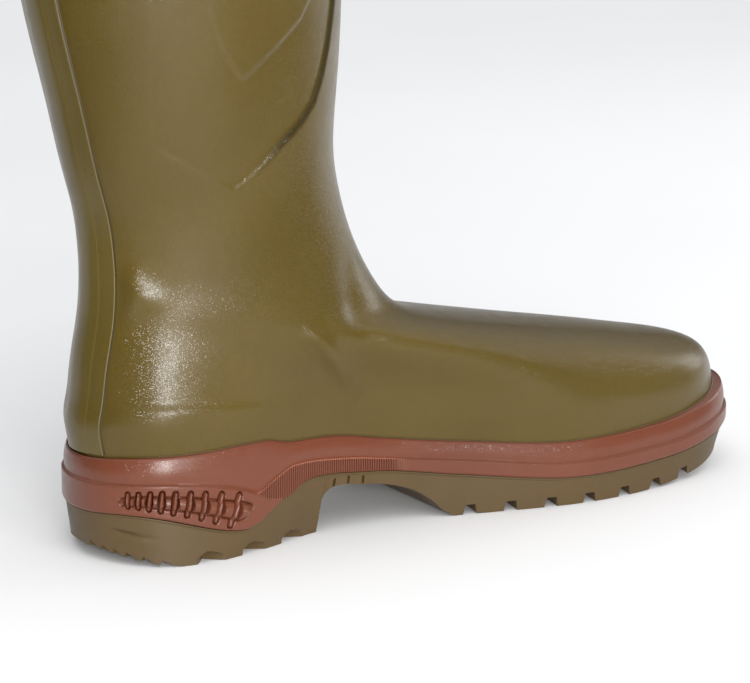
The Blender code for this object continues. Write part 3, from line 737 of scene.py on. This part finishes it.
def build_edging(material):
    """The fine beaded edge where band and upper meet."""
    t = zone_columns([(0, SOLE_LENGTH, 0.33)])
    ring, side = make_ring(t)
    along = share(ring) * SOLE_LENGTH
    arc = plan_arc(along)
    top = side_line(TOP, along)
    centre = upper_near_band(ring, side, top + 0.1)
    flat = flat_normals(centre)
    thick = (0.34 + 0.16 * np.cos(2 * np.pi * arc / BEAD_PITCH)) * (0.25 + 0.75 * rise(6, 26, along))
    rows = []
    for turn in np.linspace(0, 2 * np.pi, 7):
        out = 0.22 + thick * np.cos(turn)
        up = thick * np.sin(turn)
        rows.append(centre + out[:, None] * flat + up[:, None] * (0, 0, 1))
    grid = np.array(rows)
    return add_piece("edging_bead", grid.reshape(-1, 3), grid_faces(*grid.shape[:2]), material)


def under_height(along):
    return held(UNDERSIDE[:, 0], UNDERSIDE[:, UNDER_HEIGHT], along)


def sole_bottom(across, along):
    """Height of the outsole's underside with its teeth, grooves and lugs."""
    level = under_height(along)
    turn = np.degrees(np.arctan2(across, HEEL_CENTRE - along))
    radius = np.hypot(across, HEEL_CENTRE - along)
    teeth = np.zeros(np.shape(level))
    for start, end in zip(HEEL_TEETH[:-1], HEEL_TEETH[1:]):
        saw = rise(start - 0.6, start + 0.6, turn) * np.clip((end - turn) / (end - start), 0, 1)
        teeth = np.maximum(teeth, saw * (turn < end))
    level = level + TEETH_DEPTH * teeth * rise(19, 24, radius) * (along < HEEL_CENTRE)
    for middle in HEEL_GROOVES:
        groove = (1 - rise(1.6, 2.2, np.abs(along - middle))) * (1 - rise(21.5, 22.5, np.abs(across)))
        level = level + HEEL_GROOVE_DEPTH * groove
    for middle in FOREFOOT_GROOVES:
        line = middle - GROOVE_SLANT * np.abs(across - toe_shift(middle))
        level = level + FOREFOOT_GROOVE_DEPTH * (1 - rise(2.2, 3.0, np.abs(along - line)))
    return level


def heel_hollows(along, height, side):
    """How far the outsole's wall is cut back by scoops, arches, slits and a shallow dent."""
    cut = np.zeros(np.shape(along))
    for start in HEEL_SCOOPS:
        ramp = np.interp(along - start, (0, 4.4, SCOOP_RUN + 1), (0, 1, 0))
        cove = np.sqrt(np.clip(1 - (height / (1.4 + 3.2 * np.sqrt(ramp)))**2, 0, None))
        cut = np.maximum(cut, np.where(side > 0, SCOOP_DEPTH * ramp * cove, 0))
    for middle in HEEL_ARCHES:
        out = np.hypot((along - middle) / 4.2, height / 5.0)
        cut = np.maximum(cut, np.where(side < 0, ARCH_DEPTH * (1 - rise(0.9, 1.06, out)), 0))
    above = height - under_height(along)
    slit_tall = rise(0.1, 0.5, above) * (1 - rise(3.2, 3.7, above))
    for middle in WAIST_SLITS:
        slit = (1 - rise(0.3, 0.6, np.abs(along - middle))) * slit_tall
        cut = np.maximum(cut, SLIT_DEPTH * slit)
    ahead = plan_arc(along) - plan_arc(DENT_ALONG)
    dent = np.exp(-(ahead / 8.0)**2 - (height - DENT_HEIGHT + 0.12 * ahead)**2)
    return cut + np.where(side > 0, DENT_DEPTH * dent, 0)


def build_outsole(material):
    """The outsole: side wall with scooped lugs, fine lip under the band, and the lugged underside."""
    t = zone_columns([(0, 30, 0.5), (30, 91, 0.42), (91, 119, 0.25), (119, 158, 0.8),
                      (158, 296, 0.75), (296, SOLE_LENGTH, 0.9)])
    ring, side = make_ring(t)
    along = share(ring) * SOLE_LENGTH
    insets = [held(UNDERSIDE[:, 0], UNDERSIDE[:, column], along) for column in (MEDIAL_INSET, LATERAL_INSET)]
    inset = np.where(side > 0, *insets)
    flat = flat_normals(plan_point(ring, side, 0.0, 0.0))

    def edge(inset_now):
        half = plan_half(ring, side)
        half = half - inset_now * np.clip(half / 24, 0, 1)
        place = along + inset_now * (1 - np.clip(along / 20, 0, 1) - np.clip((along - 280) / 32, 0, 1))
        return np.stack([side * half + toe_shift(place), place, np.zeros(len(place))], -1)

    border = side_line(BORDER, along)
    low = edge(inset)
    low[:, :2] -= (heel_hollows(along, np.zeros(len(along)), side)[:, None] * flat)[:, :2]
    low[:, 2] = sole_bottom(low[:, 0], low[:, 1])
    rows = [low]
    for v in np.concatenate([np.linspace(0.02, 0.3, 15), np.linspace(0.33, 1, 20)]):
        height = low[:, 2] + (border - 1.4 - low[:, 2]) * v
        plain = under_height(along)
        part = np.clip((height - plain) / np.clip(border - 1.4 - plain, 0.5, None), 0, 1)
        point = edge(inset + (1.35 - inset) * part)
        point[:, :2] -= (heel_hollows(along, height, side)[:, None] * flat)[:, :2]
        point[:, 2] = height
        rows.append(point)
    for inset_now, drop in ((0.85, 1.0), (0.72, 0.7), (0.8, 0.4), (1.3, 0.28)):
        point = edge(np.full(len(along), inset_now))
        point[:, 2] = border - drop
        rows.append(point)
    grid = np.array(rows)
    faces = grid_faces(*grid.shape[:2])
    points = grid.reshape(-1, 3)
    columns, half_count, across_count = len(ring), len(t), 64
    medial = low[:half_count]
    lateral = np.concatenate([low[:1], low[half_count:][::-1], low[half_count - 1:half_count]])
    w = np.linspace(0, 1, across_count)[None, :, None]
    floor = medial[:, None] * (1 - w) + lateral[:, None] * w
    # In the forefoot the rows of the underside slant with its grooves.
    middle = toe_shift(floor[..., 1])
    nearer_edge = np.where(floor[..., 0] > middle, medial[:, None, 0], lateral[:, None, 0])
    from_edge = np.abs(nearer_edge - middle) - np.abs(floor[..., 0] - middle)
    forefoot = rise(140, 160, floor[..., 1]) * (1 - rise(280, 302, floor[..., 1]))
    floor[..., 1] += GROOVE_SLANT * forefoot * from_edge
    floor[..., 2] = sole_bottom(floor[..., 0], floor[..., 1])
    index = np.arange(len(points), len(points) + floor.shape[0] * across_count).reshape(floor.shape[:2])
    index[:, 0] = np.arange(half_count)
    index[:, -1] = np.concatenate([[0], np.arange(columns - 1, half_count - 1, -1), [half_count - 1]])
    under = np.stack([index[:-1, :-1], index[:-1, 1:], index[1:, 1:], index[1:, :-1]], -1).reshape(-1, 4)
    for face in under.tolist():
        single = list(dict.fromkeys(face))
        if len(single) > 2:
            faces.append(single)
    points = np.concatenate([points, floor.reshape(-1, 3)])
    return add_piece("outsole_skin", points, faces, material, sharp=38)


class Nodes:
    """Shorthand for building a material's nodes."""

    def __init__(self, name):
        self.material = bpy.data.materials.new(name)
        self.material.use_nodes = True
        self.tree = self.material.node_tree
        self.shader = self.tree.nodes["Principled BSDF"]
        self.place = self.add("ShaderNodeTexCoord").outputs["Object"]

    def add(self, kind, **settings):
        node = self.tree.nodes.new(kind)
        for key, value in settings.items():
            if key in node.inputs.keys():
                node.inputs[key].default_value = value
            else:
                setattr(node, key, value)
        return node

    def link(self, output, target):
        self.tree.links.new(output, target)

    def noise(self, scale, detail=2.0):
        node = self.add("ShaderNodeTexNoise", Scale=scale, Detail=detail, Roughness=0.5)
        self.link(self.place, node.inputs["Vector"])
        return node.outputs["Fac"]

    def ranged(self, value, low, high, start=0.0, end=1.0):
        node = self.add("ShaderNodeMapRange")
        for key, number in (("From Min", start), ("From Max", end), ("To Min", low), ("To Max", high)):
            node.inputs[key].default_value = number
        self.link(value, node.inputs["Value"])
        return node.outputs["Result"]

    def mixed(self, factor, first, second):
        node = self.add("ShaderNodeMix", data_type="RGBA")
        for value, socket in ((first, node.inputs[6]), (second, node.inputs[7])):
            if isinstance(value, tuple):
                socket.default_value = (*value, 1)
            else:
                self.link(value, socket)
        self.link(factor, node.inputs[0])
        return node.outputs[2]

    def opposite(self, value):
        node = self.add("ShaderNodeMath", operation="MULTIPLY")
        self.link(value, node.inputs[0])
        node.inputs[1].default_value = -1.0
        return node.outputs[0]

    def vectors(self, operation, *values):
        node = self.add("ShaderNodeVectorMath", operation=operation)
        for value, socket in zip(values, node.inputs):
            if isinstance(value, tuple):
                socket.default_value = value
            else:
                self.link(value, socket)
        return node.outputs["Value" if operation == "DOT_PRODUCT" else "Vector"]

    def facets(self, scale, tilt):
        """Height of small flat cells that each lean their own way, most of them little and sideways."""
        cell = self.add("ShaderNodeTexVoronoi", feature="F1")
        cell.inputs["Scale"].default_value = scale
        self.link(self.place, cell.inputs["Vector"])
        lean = self.vectors("SUBTRACT", cell.outputs["Color"], (0.5, 0.5, 0.5))
        steep = self.vectors("MULTIPLY", lean, self.vectors("ABSOLUTE", lean))
        steep = self.vectors("MULTIPLY", steep, (4 * tilt, 4 * tilt, tilt))
        inside = self.vectors("SUBTRACT", self.place, cell.outputs["Position"])
        return self.vectors("DOT_PRODUCT", inside, steep)

    def bump(self, height, strength, distance, below=None):
        node = self.add("ShaderNodeBump", Strength=strength, Distance=distance)
        self.link(height, node.inputs["Height"])
        if below:
            self.link(below, node.inputs["Normal"])
        return node.outputs["Normal"]


def rubber(name, dark, light, rough, specular, sparkle=0.0, painted_shade_tone=None):
    """Moulded rubber: two close tones in soft clouds, uneven gloss and a fine pebble grain.

    With a sparkle it has a thin coat of tiny leaning cells. With a tone for painted shade it follows the
    mesh's attribute
    of painted shade and highlight: painted shade in that tone where it is positive, a paler painted highlight
    where it is negative.
    """
    n = Nodes(name)
    cloud = n.ranged(n.noise(14.0, 3.0), 0.0, 1.0, 0.3, 0.7)
    fine = n.ranged(n.noise(420.0, 2.0), 0.0, 1.0, 0.25, 0.75)
    colour = n.mixed(cloud, dark, light)
    speck = tuple(0.8 * value for value in dark)
    colour = n.mixed(n.ranged(fine, 0.22, 0.0), colour, speck)
    if painted_shade_tone:
        # Painted shade in the darker tone where the attribute is positive, painted highlight in a paler tone
        # where it is negative.
        painted_shade_and_highlight = n.add("ShaderNodeAttribute", attribute_name="painted_shade_and_highlight")
        colour = n.mixed(painted_shade_and_highlight.outputs["Fac"], colour, painted_shade_tone)
        painted_highlight_tone = tuple(min(1.0, 2.6 * value) for value in light)
        colour = n.mixed(n.opposite(painted_shade_and_highlight.outputs["Fac"]), colour, painted_highlight_tone)
    n.link(colour, n.shader.inputs["Base Color"])
    dull = n.ranged(n.noise(160.0, 3.0), rough - 0.02, rough + 0.05, 0.3, 0.7)
    n.link(dull, n.shader.inputs["Roughness"])
    n.shader.inputs["Specular IOR Level"].default_value = specular
    n.link(n.bump(n.noise(1800.0, 2.0), 0.6, 0.00006), n.shader.inputs["Normal"])
    if sparkle:
        n.shader.inputs["Coat Weight"].default_value = sparkle
        n.shader.inputs["Coat Roughness"].default_value = 0.09
        n.link(n.bump(n.facets(3100.0, 0.42), 1.0, 1.0), n.shader.inputs["Coat Normal"])
    return n.material


def textile(name, dark, light, scale):
    """Knitted or felted cloth: fine level waves over soft mottling."""
    n = Nodes(name)
    wave = n.add("ShaderNodeTexWave", wave_type="BANDS", bands_direction="Z")
    wave.inputs["Scale"].default_value = scale
    wave.inputs["Distortion"].default_value = 1.2
    n.link(n.place, wave.inputs["Vector"])
    fibre = n.noise(scale * 2.2, 3.0)
    n.link(n.mixed(n.ranged(fibre, 0.0, 1.0, 0.3, 0.7), dark, light), n.shader.inputs["Base Color"])
    n.shader.inputs["Roughness"].default_value = 0.95
    n.shader.inputs["Sheen Weight"].default_value = 0.25
    knit = n.bump(wave.outputs["Fac"], 0.35, 0.0003)
    n.link(n.bump(fibre, 0.5, 0.0003, knit), n.shader.inputs["Normal"])
    return n.material


def pale_floor():
    n = Nodes("studio_floor")
    cloud = n.ranged(n.noise(3.0, 2.0), 0.0, 1.0, 0.3, 0.7)
    n.link(n.mixed(cloud, (0.80, 0.80, 0.80), (0.82, 0.82, 0.82)), n.shader.inputs["Base Color"])
    n.shader.inputs["Roughness"].default_value = 0.6
    n.shader.inputs["Specular IOR Level"].default_value = 0.0
    return n.material


def build_stage():
    mesh = bpy.data.meshes.new("studio_floor")
    reach, level = 12.0, -0.0002
    turns = ((-1, -1), (1, -1), (1, 1), (-1, 1))
    mesh.from_pydata([(reach * x, reach * y, level) for x, y in turns], [], [(0, 1, 2, 3)])
    mesh.materials.append(pale_floor())
    floor = bpy.data.objects.new("studio_floor", mesh)
    bpy.context.scene.collection.objects.link(floor)


def add_softbox(name, place, target, width, height, power):
    light = bpy.data.lights.new(name, "AREA")
    light.shape = "RECTANGLE"
    light.size = width
    light.size_y = height
    light.energy = power
    lamp = bpy.data.objects.new(name, light)
    lamp.location = place
    lamp.rotation_euler = (Vector(target) - Vector(place)).to_track_quat("-Z", "Y").to_euler()
    bpy.context.scene.collection.objects.link(lamp)


def add_card(name, azimuth, away, wide):
    """A dark card that only reflections see, which keeps one side of the boot darker."""
    n = Nodes(name)
    colour = n.mixed(n.noise(40.0), (0.030, 0.030, 0.030), (0.040, 0.040, 0.040))
    n.link(colour, n.shader.inputs["Base Color"])
    n.shader.inputs["Roughness"].default_value = 0.9
    middle = np.array([0.0, -0.08, 0.0]) + away * direction(azimuth, 0)
    sideways = wide / 2 * direction(azimuth + 90, 0)
    up = np.array([0, 0, 0.32])
    mesh = bpy.data.meshes.new(name)
    corners = [middle - sideways, middle + sideways, middle + sideways + up, middle - sideways + up]
    mesh.from_pydata([corner.tolist() for corner in corners], [], [(0, 1, 2, 3)])
    mesh.materials.append(n.material)
    card = bpy.data.objects.new(name, mesh)
    card.visible_camera = False
    card.visible_diffuse = False
    card.visible_shadow = False
    bpy.context.scene.collection.objects.link(card)


def direction(azimuth, elevation):
    """Unit vector towards an angle round from the heel's back and an angle up, both in degrees."""
    turn, lift = np.radians(azimuth), np.radians(elevation)
    return np.array([np.sin(turn) * np.cos(lift), -np.cos(turn) * np.cos(lift), np.sin(lift)])


def build_lights():
    """A world that is pale above and darker at the sides, the softboxes, a soft sun, and two dark cards."""
    world = bpy.data.worlds.new("studio")
    world.use_nodes = True
    tree = world.node_tree
    background = tree.nodes["Background"]
    background.inputs["Color"].default_value = (0.97, 0.98, 1.0, 1)
    place = tree.nodes.new("ShaderNodeTexCoord")
    split = tree.nodes.new("ShaderNodeSeparateXYZ")
    shade = tree.nodes.new("ShaderNodeMapRange")
    shade.interpolation_type = "SMOOTHSTEP"
    for key, number in (("From Min", 0.15), ("From Max", 0.75), ("To Min", 0.10), ("To Max", 0.91)):
        shade.inputs[key].default_value = number
    path = tree.nodes.new("ShaderNodeLightPath")
    seen = tree.nodes.new("ShaderNodeMix")
    seen.inputs["B"].default_value = 0.9
    tree.links.new(place.outputs["Generated"], split.inputs["Vector"])
    tree.links.new(split.outputs["Z"], shade.inputs["Value"])
    tree.links.new(shade.outputs["Result"], seen.inputs["A"])
    tree.links.new(path.outputs["Is Camera Ray"], seen.inputs["Factor"])
    tree.links.new(seen.outputs["Result"], background.inputs["Strength"])
    bpy.context.scene.world = world
    heel = np.array([0.0, -0.10, 0.09])
    for name, azimuth, elevation, width, power in SOFTBOXES:
        place = heel + SOFTBOX_AWAY * direction(azimuth, elevation)
        add_softbox(name, place.tolist(), heel.tolist(), width, SOFTBOX_TALL, power)
    above = bpy.data.lights.new("above", "SUN")
    above.energy = 1.00
    above.angle = np.radians(50.0)
    lamp = bpy.data.objects.new("above", above)
    lamp.rotation_euler = Vector((-direction(70, 52)).tolist()).to_track_quat("-Z", "Y").to_euler()
    bpy.context.scene.collection.objects.link(lamp)
    add_card("card_left", -3.0, 0.32, 0.40)
    add_card("card_right", 135.0, 0.40, 0.60)


def build_camera():
    """The photograph's viewpoint, turned a little so that the whole foot is in the frame."""
    target = to_model(CAMERA_TARGET)
    eye = target + CAMERA_AWAY * direction(CAMERA_AZIMUTH, CAMERA_ELEVATION)
    turn = np.radians(CAMERA_AZIMUTH)
    aim = target + CAMERA_SIDEWAYS * np.array([np.cos(turn), np.sin(turn), 0])
    data = bpy.data.cameras.new("camera")
    data.sensor_fit = "HORIZONTAL"
    data.sensor_width = 36.0
    data.lens = CAMERA_LENS
    data.clip_end = 50
    camera = bpy.data.objects.new("camera", data)
    camera.location = eye.tolist()
    camera.rotation_euler = Vector((aim - eye).tolist()).to_track_quat("-Z", "Y").to_euler()
    bpy.context.scene.collection.objects.link(camera)
    bpy.context.scene.camera = camera


def main():
    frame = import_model()
    # The darker tone given to olive, stay and brown is painted shade for their grooves, slots and steep
    # slopes.
    olive = rubber("olive_rubber", (0.063, 0.0415, 0.005), (0.079, 0.0525, 0.0082), 0.32, 0.22, sparkle=0.36,
                   painted_shade_tone=(0.022, 0.0148, 0.0015))
    stay = rubber("stay_rubber", (0.070, 0.0485, 0.0072), (0.086, 0.0605, 0.011), 0.29, 0.45,
                  painted_shade_tone=(0.030, 0.020, 0.003))
    brown = rubber("brown_rubber", (0.102, 0.027, 0.012), (0.129, 0.036, 0.016), 0.31, 0.34, sparkle=0.24,
                   painted_shade_tone=(0.046, 0.012, 0.0065))
    sole = rubber("sole_rubber", (0.066, 0.040, 0.0122), (0.082, 0.050, 0.016), 0.46, 0.4)
    line = rubber("line_rubber", (0.092, 0.066, 0.013), (0.114, 0.082, 0.018), 0.36, 0.4)
    bead = rubber("edging_rubber", (0.060, 0.038, 0.012), (0.080, 0.051, 0.017), 0.33, 0.5)
    cloth = textile("lining_cloth", (0.030, 0.032, 0.026), (0.055, 0.057, 0.048), 900.0)
    felt = textile("insole_felt", (0.060, 0.057, 0.050), (0.110, 0.104, 0.094), 500.0)

    pieces = [
        (build_upper(olive), "upper", "upper_rubber"),
        (build_back_stay(stay, line), "back_stay", "upper_rubber"),
        (build_band(brown), "midsole_band", "band_rubber"),
        (build_outsole(sole), "outsole", "outsole_rubber"),
    ]
    for piece, node, slot in pieces:
        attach(piece, "root")
        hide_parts(node)
    for piece, slot in ((build_lining(cloth), "insole_felt"), (build_edging(bead), "upper_rubber")):
        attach(piece, "root")
    insole = frame["nodes"]["insole"]
    insole.data.materials.clear()
    insole.data.materials.append(felt)

    build_stage()
    build_lights()
    build_camera()
    bpy.context.scene.view_settings.view_transform = "Standard"


main()
